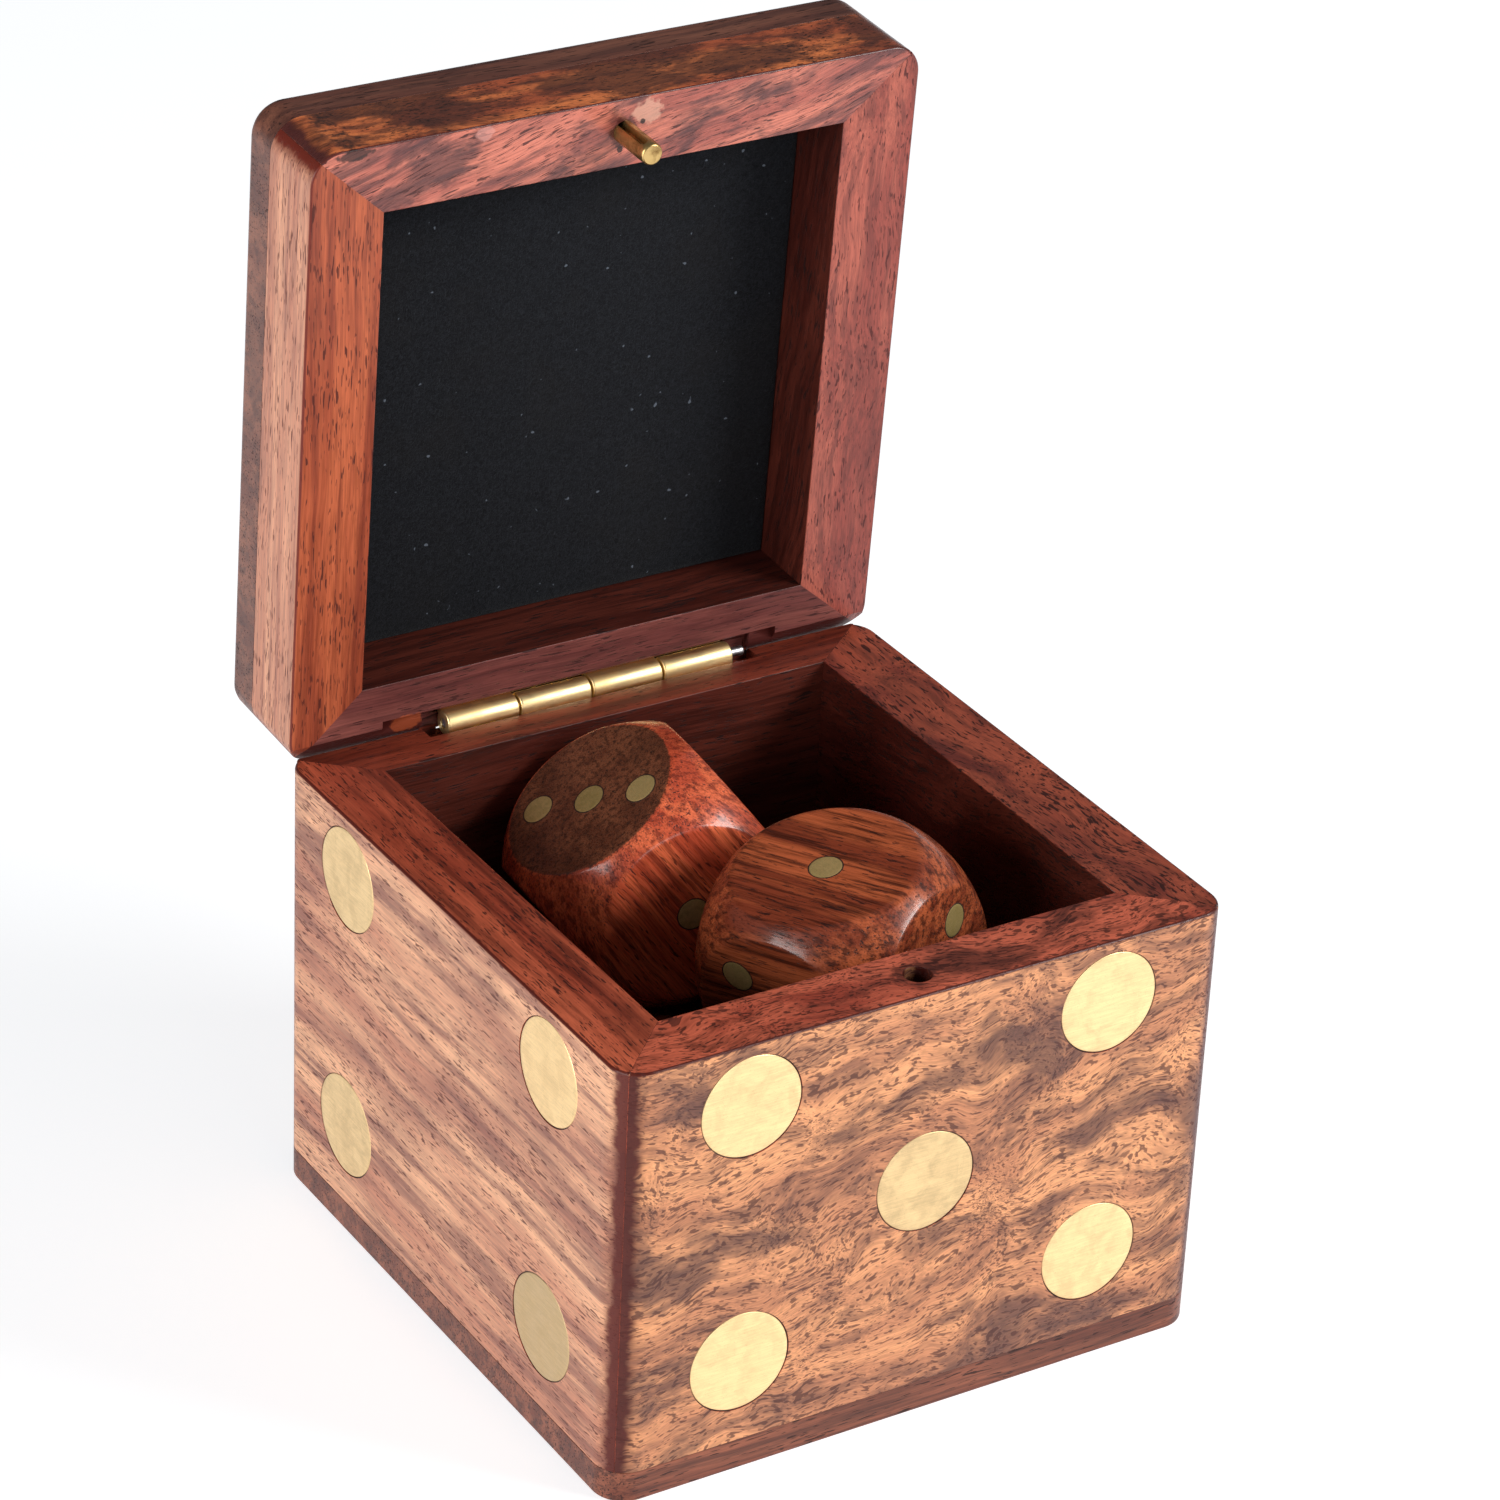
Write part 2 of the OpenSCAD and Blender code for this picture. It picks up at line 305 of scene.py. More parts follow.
def wood(name, kind, grain, seed, face, rim=None, inner=None, outward=None,
         turn=(0, 0, 0), warp=(0.05, 0.8), bands=(0.02, 0.22), pores=0.66, pore_size=(0.42, 4.2),
         patch=(0.05, 0.50, 0.66), patch_amount=0.5, streak=0.5, rough=0.36, coat=0.06, coat_rough=0.15,
         bump=0.35, face_band=(0.84, 0.997), pore_amount=0.9, rim_patch=None, spec=0.3, edge_shade=0.95, marks=()):
    """Oiled rosewood. A palette is (light, mid, dark, pore). grain is the axis along the fibres in the piece's own frame;
    outward is the normal of the outer face, where the palette face is used; rim and inner are used elsewhere."""
    net = Net(name)
    p, n = own_frame(net, kind)
    sep = net.node("ShaderNodeSeparateXYZ", {0: p})
    x, y, z = sep.outputs[0], sep.outputs[1], sep.outputs[2]
    order = {"X": (x, y, z), "Y": (y, z, x), "Z": (z, x, y)}[grain]
    comb = net.node("ShaderNodeCombineXYZ", {0: order[0], 1: order[1], 2: order[2]}).outputs[0]
    q = net.node("ShaderNodeMapping", {"Vector": comb, "Location": Vector((seed * 37.1 % 91, seed * 53.7 % 83, seed * 17.3 % 71)),
                                       "Rotation": Euler([math.radians(a) for a in turn])}, vector_type="POINT").outputs[0]
    # waviness of the grain
    w = net.noise(q, scale=warp[0], detail=2.0, rough=0.55, out=1)
    w = net.vec("SUBTRACT", w, (0.5, 0.5, 0.5))
    w = net.vec("MULTIPLY", w, (warp[1] * 0.4, warp[1], warp[1]))
    qw = net.vec("ADD", q, w)

    def stretched(a, b, **kw):
        return net.noise(net.vec("MULTIPLY", qw, (a, b, b)), **kw)

    big = stretched(bands[0], bands[1], detail=3.0, rough=0.6)
    mid = stretched(bands[0] * 3.0, bands[1] * 4.5, detail=4.0, rough=0.62)
    fine = stretched(0.22, 6.5, detail=3.0, rough=0.6)
    pore_n = stretched(pore_size[0], pore_size[1], detail=1.0, rough=0.5)
    pore_n2 = net.noise(net.vec("MULTIPLY", net.vec("ADD", qw, (31.0, 17.0, 5.0)), (pore_size[0] * 1.7, pore_size[1] * 1.6, pore_size[1] * 1.6)), detail=0.0)
    dens = net.noise(q, scale=0.16, detail=2.0)
    lift = net.ramp(dens, 0.35, 0.65, 0.03, -0.03)
    pore = net.ramp(net.math("ADD", pore_n, lift), pores, pores + 0.05)
    pore = net.math("MAXIMUM", pore, net.math("MULTIPLY", net.ramp(net.math("ADD", pore_n2, lift), pores + 0.06, pores + 0.11), 0.8))
    smoke = net.noise(net.vec("MULTIPLY", qw, (patch[0], patch[0] * 2.0, patch[0] * 2.0)), detail=5.0, rough=0.62)
    smoke = net.ramp(smoke, patch[1], patch[2])

    def coloured(pal, smoke_amount):
        light, middle, dark, hole = pal
        c = net.mix(net.ramp(big, 0.40, 0.60), light, middle)
        c = net.mix(net.math("MULTIPLY", net.ramp(mid, 0.45, 0.64), streak), c, dark)
        c = net.mix(net.math("MULTIPLY", smoke, smoke_amount), c, dark)
        f = net.ramp(fine, 0.3, 0.7, 0.78, 1.16)
        c = net.mix(1.0, c, net.node("ShaderNodeCombineXYZ", {0: f, 1: f, 2: f}).outputs[0], "MULTIPLY")
        return net.mix(net.math("MULTIPLY", pore, pore_amount), c, hole)

    # the outer face takes the face palette, lighter and pinker than the rim palette: partly the wood's own figure,
    # partly painted sheen, the pale reflection the flat faces show
    colour = coloured(face, patch_amount)
    on_face = None
    if outward is not None:
        facing = net.vec("DOT_PRODUCT", n, outward)
        ragged = net.math("MULTIPLY", net.math("SUBTRACT", mid, 0.5), 0.35)
        on_face = net.ramp(net.math("ADD", facing, net.math("MULTIPLY", ragged, net.ramp(facing, 0.998, 0.9))), face_band[0], face_band[1])
        edge = coloured(rim, patch_amount if rim_patch is None else rim_patch)
        # inward faces take the inner palette, which is darker: painted shade inside the box and lid
        if inner is not None:
            shaded_inner = coloured(inner, patch_amount * 0.6)
            edge = net.mix(net.ramp(facing, -0.5, -0.9), edge, shaded_inner)
        # the turn from the rim to the face is darker: painted shade, standing in for the dark reflection that the
        # rounded edges and corners show beside the sheen of the flat faces
        turn_shade = net.math("MULTIPLY", net.ramp(facing, 0.15, 0.45), net.ramp(facing, 0.97, 0.999, 1.0, 0.0))
        edge = net.mix(net.math("MULTIPLY", turn_shade, edge_shade), edge, turn_shade_colour(rim))
        colour = net.mix(on_face, edge, colour)
    # filler, nail holes and other dark and pale patches: (x, y, half width, half depth, colour, strength), seen from
    # below or above
    for mx, my, rx, ry, tint, strength in marks:
        dx = net.math("DIVIDE", net.math("SUBTRACT", x, mx), rx)
        dy = net.math("DIVIDE", net.math("SUBTRACT", y, my), ry)
        d = net.math("SQRT", net.math("ADD", net.math("MULTIPLY", dx, dx), net.math("MULTIPLY", dy, dy)))
        d = net.math("ADD", d, net.math("MULTIPLY", net.math("SUBTRACT", net.noise(p, scale=1.4, detail=3.0), 0.5), 1.1))
        colour = net.mix(net.math("MULTIPLY", net.ramp(d, 1.05, 0.75), strength), colour, tint)
    net.put(net.bsdf.inputs["Base Color"], colour)
    r = net.math("ADD", net.ramp(fine, 0.3, 0.7, rough - 0.05, rough + 0.07), net.math("MULTIPLY", pore, 0.25))
    net.put(net.bsdf.inputs["Roughness"], r)
    h = net.math("SUBTRACT", net.math("MULTIPLY", fine, 0.35), pore)
    net.put(net.bsdf.inputs["Normal"], net.bump(h, bump, 0.00005))
    net.bsdf.inputs["IOR"].default_value = 1.48
    net.bsdf.inputs["Specular IOR Level"].default_value = spec
    net.bsdf.inputs["Coat Weight"].default_value = coat
    net.bsdf.inputs["Coat Roughness"].default_value = coat_rough
    return net.mat


def brass_pips_material(name, base, dull, rough=0.34, scale=1.0, spots=0.55, metallic=0.9):
    """Sanded brass: cloudy tarnish, fine straight brush lines, tiny pits. tone is each disc's own shade."""
    net = Net(name)
    tc = net.t.nodes.new("ShaderNodeTexCoord")
    p = net.vec("SCALE", tc.outputs["Object"], scale=1000.0)
    tone = net.node("ShaderNodeAttribute", attribute_name="tone", attribute_type="GEOMETRY").outputs["Fac"]
    cloud = net.noise(p, scale=0.42 * scale, detail=4.0, rough=0.62, distortion=0.6)
    brush = net.noise(net.vec("MULTIPLY", p, (0.5, 0.5, 9.0)), scale=scale, detail=3.0, rough=0.6)
    speck = net.noise(p, scale=7.0 * scale, detail=2.0, rough=0.6)
    f = net.math("ADD", net.ramp(cloud, 0.34, 0.70, 0.0, 0.42), net.math("MULTIPLY", net.math("SUBTRACT", tone, 0.35), 1.6), clamp=True)
    c = net.mix(f, base, dull)
    c = net.mix(net.math("MULTIPLY", net.ramp(speck, 0.60, 0.72), spots), c, tuple(v * 0.45 for v in dull[:3]) + (1.0,))
    g = net.ramp(brush, 0.3, 0.7, 0.92, 1.06)
    c = net.mix(1.0, c, net.node("ShaderNodeCombineXYZ", {0: g, 1: g, 2: g}).outputs[0], "MULTIPLY")
    net.put(net.bsdf.inputs["Base Color"], c)
    net.bsdf.inputs["Metallic"].default_value = metallic
    net.put(net.bsdf.inputs["Roughness"], net.math("ADD", net.ramp(cloud, 0.3, 0.7, rough - 0.04, rough + 0.10), net.math("MULTIPLY", tone, 0.12)))
    h = net.math("ADD", net.math("MULTIPLY", brush, 0.6), net.math("MULTIPLY", speck, 0.5))
    net.put(net.bsdf.inputs["Normal"], net.bump(h, 0.22, 0.00003))
    return net.mat


def metal(name, base, dull, rough, spot_scale=2.0, line=None, bump=0.10):
    net = Net(name)
    tc = net.t.nodes.new("ShaderNodeTexCoord")
    p = net.vec("SCALE", tc.outputs["Object"], scale=1000.0)
    cloud = net.noise(p, scale=spot_scale * 0.5, detail=4.0, rough=0.65, distortion=0.4)
    lines = net.noise(net.vec("MULTIPLY", p, line or (8.0, 1.0, 1.0)), scale=1.0, detail=2.0)
    c = net.mix(net.ramp(cloud, 0.45, 0.7), base, dull)
    net.put(net.bsdf.inputs["Base Color"], c)
    net.bsdf.inputs["Metallic"].default_value = 1.0
    net.put(net.bsdf.inputs["Roughness"], net.ramp(cloud, 0.3, 0.7, rough - 0.04, rough + 0.12))
    net.put(net.bsdf.inputs["Normal"], net.bump(net.math("ADD", lines, cloud), bump, 0.00002))
    return net.mat


def felt_material(name):
    """Black pressed felt with a mottled nap and a few specks of lint."""
    net = Net(name)
    tc = net.t.nodes.new("ShaderNodeTexCoord")
    p = net.vec("SCALE", tc.outputs["Object"], scale=1000.0)
    nap = net.noise(p, scale=3.2, detail=5.0, rough=0.72, distortion=1.2)
    hair = net.noise(net.vec("MULTIPLY", p, (6.0, 1.6, 1.2)), scale=1.0, detail=3.0, rough=0.6, distortion=1.5)
    patch = net.noise(p, scale=0.12, detail=3.0)
    c = net.mix(net.ramp(nap, 0.35, 0.75), (0.0030, 0.0036, 0.0052, 1), (0.0145, 0.0165, 0.021, 1))
    c = net.mix(net.math("MULTIPLY", net.ramp(hair, 0.62, 0.78), 0.5), c, (0.035, 0.038, 0.048, 1))
    c = net.mix(net.ramp(patch, 0.45, 0.7, 0.0, 0.25), c, (0.011, 0.010, 0.010, 1))
    lint = net.noise(p, scale=1.9, detail=0.0)
    lint2 = net.noise(p, scale=0.9, detail=0.0)
    l = net.math("MULTIPLY", net.ramp(lint, 0.80, 0.84), net.ramp(lint2, 0.55, 0.6))
    c = net.mix(net.math("MULTIPLY", l, 0.45), c, (0.22, 0.26, 0.32, 1))
    net.put(net.bsdf.inputs["Base Color"], c)
    net.bsdf.inputs["Roughness"].default_value = 0.95
    net.bsdf.inputs["Specular IOR Level"].default_value = 0.15
    net.bsdf.inputs["Sheen Weight"].default_value = 0.12
    net.bsdf.inputs["Sheen Roughness"].default_value = 0.4
    net.put(net.bsdf.inputs["Normal"], net.bump(net.math("ADD", nap, net.math("MULTIPLY", hair, 0.6)), 0.6, 0.00012))
    return net.mat


def gap_material(name):
    """The dark line of glue and filler round an inlaid pip."""
    net = Net(name)
    tc = net.t.nodes.new("ShaderNodeTexCoord")
    p = net.vec("SCALE", tc.outputs["Object"], scale=1000.0)
    c = net.mix(net.noise(p, scale=3.0, detail=3.0), (0.012, 0.005, 0.003, 1), (0.05, 0.018, 0.010, 1))
    net.put(net.bsdf.inputs["Base Color"], c)
    net.bsdf.inputs["Roughness"].default_value = 0.6
    return net.mat


# palettes: light, mid, dark, pore
# the walls' outer faces use lighter, pinker palettes than their rims: partly the wood's own figure, partly painted
# sheen
TAN = (srgb(226, 168, 130), srgb(190, 127, 99), srgb(124, 72, 62), srgb(88, 46, 42))
BURL = (srgb(228, 158, 110), srgb(190, 126, 90), srgb(80, 50, 48), srgb(72, 39, 37))
REDBACK = (srgb(140, 60, 40), srgb(108, 42, 28), srgb(62, 22, 17), srgb(44, 14, 11))
REDRIGHT = (srgb(170, 82, 58), srgb(128, 54, 42), srgb(56, 24, 20), srgb(42, 14, 12))
RED = (srgb(208, 104, 72), srgb(158, 68, 47), srgb(80, 30, 23), srgb(50, 16, 12))
REDSTREAK = (srgb(212, 106, 78), srgb(160, 68, 50), srgb(60, 24, 20), srgb(44, 15, 12))
# the next palette, for the inward faces, is darker than the rims: painted shade inside the box and lid
INNER_SHADED = (srgb(92, 40, 30), srgb(72, 28, 21), srgb(44, 16, 13), srgb(34, 12, 10))
BASE = (srgb(140, 80, 58), srgb(112, 58, 42), srgb(66, 32, 26), srgb(46, 22, 18))
PINK = (srgb(204, 118, 98), srgb(166, 88, 76), srgb(70, 43, 47), srgb(66, 30, 30))
ORANGE = (srgb(186, 96, 62), srgb(158, 74, 48), srgb(112, 46, 34), srgb(74, 26, 20))
PINKRED = (srgb(172, 90, 74), srgb(146, 68, 58), srgb(104, 48, 44), srgb(78, 30, 28))
DULL = (srgb(140, 80, 72), srgb(116, 62, 58), srgb(82, 42, 42), srgb(60, 26, 26))
LIDTOP = (srgb(236, 132, 74), srgb(182, 88, 52), srgb(72, 36, 28), srgb(44, 22, 17))
LIDLEFT = (srgb(214, 152, 120), srgb(190, 126, 99), srgb(142, 84, 68), srgb(98, 52, 42))
PANEL = (srgb(134, 84, 66), srgb(108, 62, 50), srgb(70, 40, 36), srgb(50, 26, 22))
# die 4's palettes: the first, on its three-pip face, is darker as painted shade; the second, on its other faces, is
# brighter as painted light
DIE_SHADED_FACE = (srgb(132, 78, 54), srgb(110, 62, 43), srgb(66, 38, 27), srgb(46, 25, 17))
DIE_LIT_SIDES = (srgb(232, 112, 72), srgb(194, 80, 52), srgb(120, 44, 30), srgb(76, 26, 18))
DIE_A = (srgb(156, 80, 50), srgb(114, 54, 35), srgb(54, 25, 18), srgb(42, 17, 12))
DIE_B = (srgb(190, 96, 58), srgb(138, 62, 39), srgb(62, 27, 19), srgb(46, 18, 13))

M_left = wood("wood_left", "box", "Y", 3, TAN, RED, INNER_SHADED, (-1, 0, 0), warp=(0.03, 2.0), bands=(0.012, 0.13), streak=0.75,
              pores=0.635, pore_size=(0.60, 4.2), patch=(0.03, 0.48, 0.62), patch_amount=0.45, rough=0.40, pore_amount=0.85)
M_front = wood("wood_front", "box", "X", 8, BURL, REDSTREAK, INNER_SHADED, (0, -1, 0), turn=(0, 6, 8), warp=(0.075, 9.0), bands=(0.03, 0.16),
               pores=0.59, pore_size=(0.80, 3.1), patch=(0.06, 0.49, 0.63), patch_amount=0.78, streak=0.55, rough=0.34, pore_amount=0.75, rim_patch=0.75,
               marks=[(0.0, -27.2, 2.6, 1.7, srgb(52, 18, 15), 0.7)])
M_right = wood("wood_right", "box", "Y", 14, BURL, REDRIGHT, INNER_SHADED, (1, 0, 0), turn=(0, -5, 10), warp=(0.06, 6.0), bands=(0.03, 0.2),
               pores=0.61, pore_size=(0.6, 3.0), patch=(0.04, 0.46, 0.64), patch_amount=0.6, streak=0.5, rough=0.34, rim_patch=0.4)
M_back = wood("wood_back", "box", "X", 21, TAN, REDBACK, INNER_SHADED, (0, 1, 0), warp=(0.035, 3.0), bands=(0.014, 0.2), streak=0.6,
              pores=0.65, pore_size=(0.5, 4.4), patch_amount=0.3, rough=0.40)
M_base = wood("wood_base", "box", "X", 30, BASE, warp=(0.03, 2.0), bands=(0.014, 0.35), streak=0.7, pores=0.64, patch_amount=0.4, rough=0.38)
M_panel = wood("wood_panel", "lid", "X", 41, PANEL, warp=(0.035, 3.0), bands=(0.016, 0.2), streak=0.6, pores=0.65, patch_amount=0.5, rough=0.36)
M_lfront = wood("wood_lid_front", "lid", "X", 52, LIDTOP, PINK, INNER_SHADED, (0, -1, 0), turn=(0, 0, 14), warp=(0.05, 4.0), bands=(0.035, 0.22),
                streak=0.7, pores=0.64, patch=(0.09, 0.46, 0.57), patch_amount=0.8, rough=0.28, coat=0.20, rim_patch=0.75,
                marks=[(2.3, -29.1, 1.6, 1.2, srgb(214, 160, 138), 0.7), (0.0, -27.55, 1.5, 1.5, srgb(70, 30, 26), 0.75),
                       (1.85, -28.2, 0.3, 0.3, srgb(26, 12, 10), 0.9), (-0.3, -25.9, 0.3, 0.3, srgb(26, 12, 10), 0.9),
                       (-26.6, -30.2, 1.8, 0.6, srgb(34, 20, 20), 0.85), (-14.0, -29.9, 1.0, 0.7, srgb(212, 150, 140), 0.5)])
M_lleft = wood("wood_lid_left", "lid", "Y", 63, LIDLEFT, ORANGE, INNER_SHADED, (-1, 0, 0), warp=(0.04, 1.5), bands=(0.014, 0.28), streak=0.6,
               pores=0.645, pore_size=(0.5, 4.2), patch_amount=0.3, rough=0.36)
M_lright = wood("wood_lid_right", "lid", "Y", 74, LIDLEFT, PINKRED, INNER_SHADED, (1, 0, 0), turn=(0, 0, -9), warp=(0.045, 3.5), bands=(0.025, 0.25), streak=0.6,
                pores=0.645, pore_size=(0.5, 4.2), patch_amount=0.5, rough=0.36)
M_lback = wood("wood_lid_back", "lid", "X", 85, TAN, DULL, INNER_SHADED, (0, 1, 0), warp=(0.04, 2.0), bands=(0.014, 0.3), streak=0.6, pores=0.645,
               patch_amount=0.4, rough=0.38, marks=[(-18.6, 28.7, 1.8, 1.2, srgb(196, 96, 56), 0.6)])
M_dice = []
for i, g in enumerate(["X", "Y", "X", "Z", "Z"]):
    more = {}
    # die 4 takes a darker palette on its three-pip face, painted shade where that face lies in shadow, and a brighter
    # one on its other faces, painted light on its lit sides
    if i == 3:
        more = dict(rim=DIE_LIT_SIDES, outward=(0, 0, 1), face_band=(0.93, 0.985), edge_shade=0.0)
    M_dice.append(wood(f"wood_die_{i + 1}", i, g, 101 + 7 * i, DIE_SHADED_FACE if i == 3 else (DIE_A if i % 2 else DIE_B), warp=(0.05, 1.6),
                       bands=(0.03, 0.4), streak=0.8, pores=0.65, pore_size=(0.5, 4.6), patch_amount=0.45, rough=0.29,
                       coat=0.35, coat_rough=0.14, bump=0.5, **more))
M_pip = brass_pips_material("brass_pips", (0.96, 0.69, 0.35, 1), (0.60, 0.44, 0.24, 1), spots=0.25)
M_diepip = brass_pips_material("brass_die_pips", (0.78, 0.58, 0.24, 1), (0.38, 0.28, 0.09, 1), rough=0.42, scale=2.6, spots=0.75, metallic=0.65)
M_hinge = metal("brass_hinge", (1.0, 0.77, 0.40, 1), (0.96, 0.68, 0.30, 1), 0.36, spot_scale=0.5, line=(0.6, 5.0, 5.0), bump=0.02)
M_peg = metal("brass_peg", (0.56, 0.38, 0.15, 1), (0.26, 0.15, 0.05, 1), 0.36, spot_scale=1.6, line=(1.0, 6.0, 6.0))
M_steel = metal("steel_pin", (0.62, 0.62, 0.64, 1), (0.40, 0.40, 0.42, 1), 0.30)
M_felt = felt_material("felt_black")
M_gap = gap_material("glue_line")


# -------------------------------------------------------------------- wood

def near(a, b, eps=0.03):
    return abs(a - b) < eps


def outer_side(v):
    """Whether a point lies on the upright outer face of the box or lid."""
    x, y = abs(v[0]), abs(v[1])
    if near(x, HW) or near(y, HD):
        return True
    return x > HW - 3.05 and y > HD - 3.05 and near(math.hypot(x - HW + 3.0, y - HD + 3.0), 3.0, 0.05)


def wall_pick(rim_z, foot_z, rim_w, other=0.06):
    """Edge shares for a wall: its outer rim edge, the seam at its foot, and small eases on the mitres and the inner edge."""
    def pick(a, b):
        if near(a.z, rim_z) and near(b.z, rim_z):
            if outer_side(a) and outer_side(b):
                return rim_w
            return 0.16 if max(abs(a.x), abs(b.x), abs(a.y), abs(b.y)) < HW - 5.5 else 0.07
        if near(a.z, foot_z) and near(b.z, foot_z):
            return 0.12 if outer_side(a) and outer_side(b) else 0.0
        if outer_side(a) and outer_side(b) and abs(a.z - b.z) > 3:
            return other
        return 0.0
    return pick


PIP_X = 18.2
for wall, mat, slot, cuts in (("front_wall", M_front, "wood_front", [(0, -PIP_X), (0, 0.0), (0, PIP_X)]),
                              ("left_wall", M_left, "wood_side", [(1, -PIP_X), (1, PIP_X)]),
                              ("right_wall", M_right, "wood_front", [(1, -PIP_X), (1, 0.0), (1, PIP_X)]),
                              ("back_wall", M_back, "wood_side", [(0, -PIP_X), (0, PIP_X)])):
    made = bevelled(wall, wall + "_eased", "box", slot, mat, 0.6, wall_pick(BODY_H, BASE_T, 0.6 if wall != "back_wall" else 0.3), cuts=cuts)
    if wall == "back_wall":
        # a thin skin of wood closes the hinge's groove at the back, beside the ends of the barrel
        bm = bmesh.new()
        bm.from_mesh(made.data)
        for xa, xb in ((BARREL_X0 - 1.98, BARREL_X0 - 0.35), (BARREL_X0 + BARREL_LEN + 0.35, BARREL_X0 + BARREL_LEN + 2.48)):
            c = [bm.verts.new(Vector((x, y, z)) * MM) for x in (xa, xb) for y in (30.30, HD - 0.17) for z in (42.3, BODY_H - 0.15)]
            for q in ((0, 1, 3, 2), (4, 6, 7, 5), (0, 4, 5, 1), (2, 3, 7, 6), (0, 2, 6, 4), (1, 5, 7, 3)):
                bm.faces.new([c[i] for i in q])
        bm.to_mesh(made.data)
        bm.free()


def base_pick(a, b):
    if near(a.z, 0) and near(b.z, 0):
        return 0.45
    if near(a.z, BASE_T) and near(b.z, BASE_T) and outer_side(a) and outer_side(b):
        return 0.14
    return 0.0


bevelled("base_plate", "base_plate_eased", "box", "wood_base", M_base, 0.6, base_pick)


def lid_pick(a, b):
    if near(a.z, LID_Z) and near(b.z, LID_Z):
        if outer_side(a) and outer_side(b):
            return 0.6
        return 0.2 if max(abs(a.x), abs(b.x), abs(a.y), abs(b.y)) < HW - 5.5 else 0.0
    if near(a.z, LID_Z + 7.6) and near(b.z, LID_Z + 7.6):
        return 0.12 if outer_side(a) and outer_side(b) else 0.0
    if outer_side(a) and outer_side(b) and abs(a.z - b.z) > 3:
        return 0.08
    return 0.0


for wall, mat, slot in (("lid_front_wall", M_lfront, "wood_front"), ("lid_left_wall", M_lleft, "wood_side"),
                        ("lid_right_wall", M_lright, "wood_front"), ("lid_back_wall", M_lback, "wood_side")):
    bevelled(wall, wall + "_eased", "lid", slot, mat, 0.45, lid_pick, lid=True, cuts=[(0, 0.0)] if wall == "lid_front_wall" else ())


def panel_pick(a, b):
    if near(a.z, LID_TOP) and near(b.z, LID_TOP) and outer_side(a) and outer_side(b):
        return 1.0
    if near(a.z, LID_Z + 7.6) and near(b.z, LID_Z + 7.6) and outer_side(a) and outer_side(b):
        return 0.06
    return 0.0


bevelled("lid_panel", "lid_panel_eased", "lid", "wood_base", M_panel, 1.1, panel_pick, segments=4, lid=True,
         cuts=[(0, -PIP_X), (0, PIP_X), (0, -PIP_X * 0.93), (0, PIP_X * 0.93)])


# -------------------------------------------------------------------- dice

def die_mesh(half, ball, fillet=0.32):
    """A cube cut by a ball, with the face edges eased: rings round each of the six faces, out to the corners between them."""
    seg = 96
    rc = math.sqrt(ball * ball - half * half) / half
    flat = [0.0, 0.22, 0.45, 0.66, rc - 0.075]
    ease = [rc - 0.05 + 0.1 * i / 9 for i in range(10)]
    bm = bmesh.new()
    axes = [Matrix.Rotation(a, 3, ax) for a, ax in ((0, "X"), (math.pi / 2, "X"), (-math.pi / 2, "X"), (math.pi, "X"), (math.pi / 2, "Y"), (-math.pi / 2, "Y"))]
    for m in axes:
        rings = []
        for k in range(len(flat) + len(ease) + 5):
            ring = []
            for s in range(seg):
                th = 2 * math.pi * (s + 0.0) / seg
                edge = 1 / max(abs(math.cos(th)), abs(math.sin(th)))
                if k < len(flat):
                    rho = flat[k]
                elif k < len(flat) + len(ease):
                    rho = ease[k - len(flat)]
                else:
                    rho = ease[-1] + (edge - ease[-1]) * (k - len(flat) - len(ease) + 1) / 5
                d = Vector((rho * math.cos(th), rho * math.sin(th), 1.0)).normalized()
                a, b = ball, half / d.z
                h = max(fillet - abs(a - b), 0.0) / fillet
                r = min(a, b) - h * h * fillet * 0.25
                ring.append(d * r)
                if k == 0:
                    break
            rings.append([bm.verts.new(m @ v * MM) for v in ring])
        for k in range(1, len(rings)):
            for s in range(seg):
                t = (s + 1) % seg
                if k == 1:
                    bm.faces.new((rings[0][0], rings[1][s], rings[1][t]))
                else:
                    bm.faces.new((rings[k - 1][s], rings[k][s], rings[k][t], rings[k - 1][t]))
    bmesh.ops.remove_doubles(bm, verts=bm.verts, dist=5e-6)
    bmesh.ops.recalc_face_normals(bm, faces=bm.faces)
    return bm


def lathe(profile, place, seg=64, close_top=True):
    """Vertices and faces of a turned shape. profile is (radius, height) from the middle of the top outwards and down; place maps a point."""
    verts, faces = [], []
    rows = []
    for r, h in profile:
        if r == 0:
            rows.append([len(verts)])
            verts.append(place(Vector((0, 0, h))))
        else:
            rows.append(list(range(len(verts), len(verts) + seg)))
            verts += [place(Vector((r * math.cos(2 * math.pi * i / seg), r * math.sin(2 * math.pi * i / seg), h))) for i in range(seg)]
    for a, b in zip(rows, rows[1:]):
        for i in range(seg):
            j = (i + 1) % seg
            if len(a) == 1 and len(b) == 1:
                continue
            if len(a) == 1:
                faces.append((a[0], b[i], b[j]))
            elif len(b) == 1:
                faces.append((a[j], a[i], b[0]))
            else:
                faces.append((a[i], b[i], b[j], a[j]))
    return verts, faces


def merge(parts):
    verts, faces, index, tone = [], [], [], []
    for v, f, m, t in parts:
        off = len(verts)
        verts += v
        faces += [tuple(i + off for i in q) for q in f]
        index += [m] * len(f)
        tone += [t] * len(v)
    return verts, faces, index, tone


DIE_HALF, DIE_BALL, DIE_PIP_R, DIE_OFF = 10.0, 13.2, 1.55, 4.0


def die_rows(n, s2, s3):
    u = DIE_OFF
    return {1: [(0, 0)], 2: [(-u * s2, u), (u * s2, -u)], 3: [(-u * s3, u), (0, 0), (u * s3, -u)],
            4: [(-u, u), (u, u), (-u, -u), (u, -u)], 5: [(-u, u), (u, u), (0, 0), (-u, -u), (u, -u)],
            6: [(-u, u), (u, u), (-u, 0), (u, 0), (-u, -u), (u, -u)]}[n]


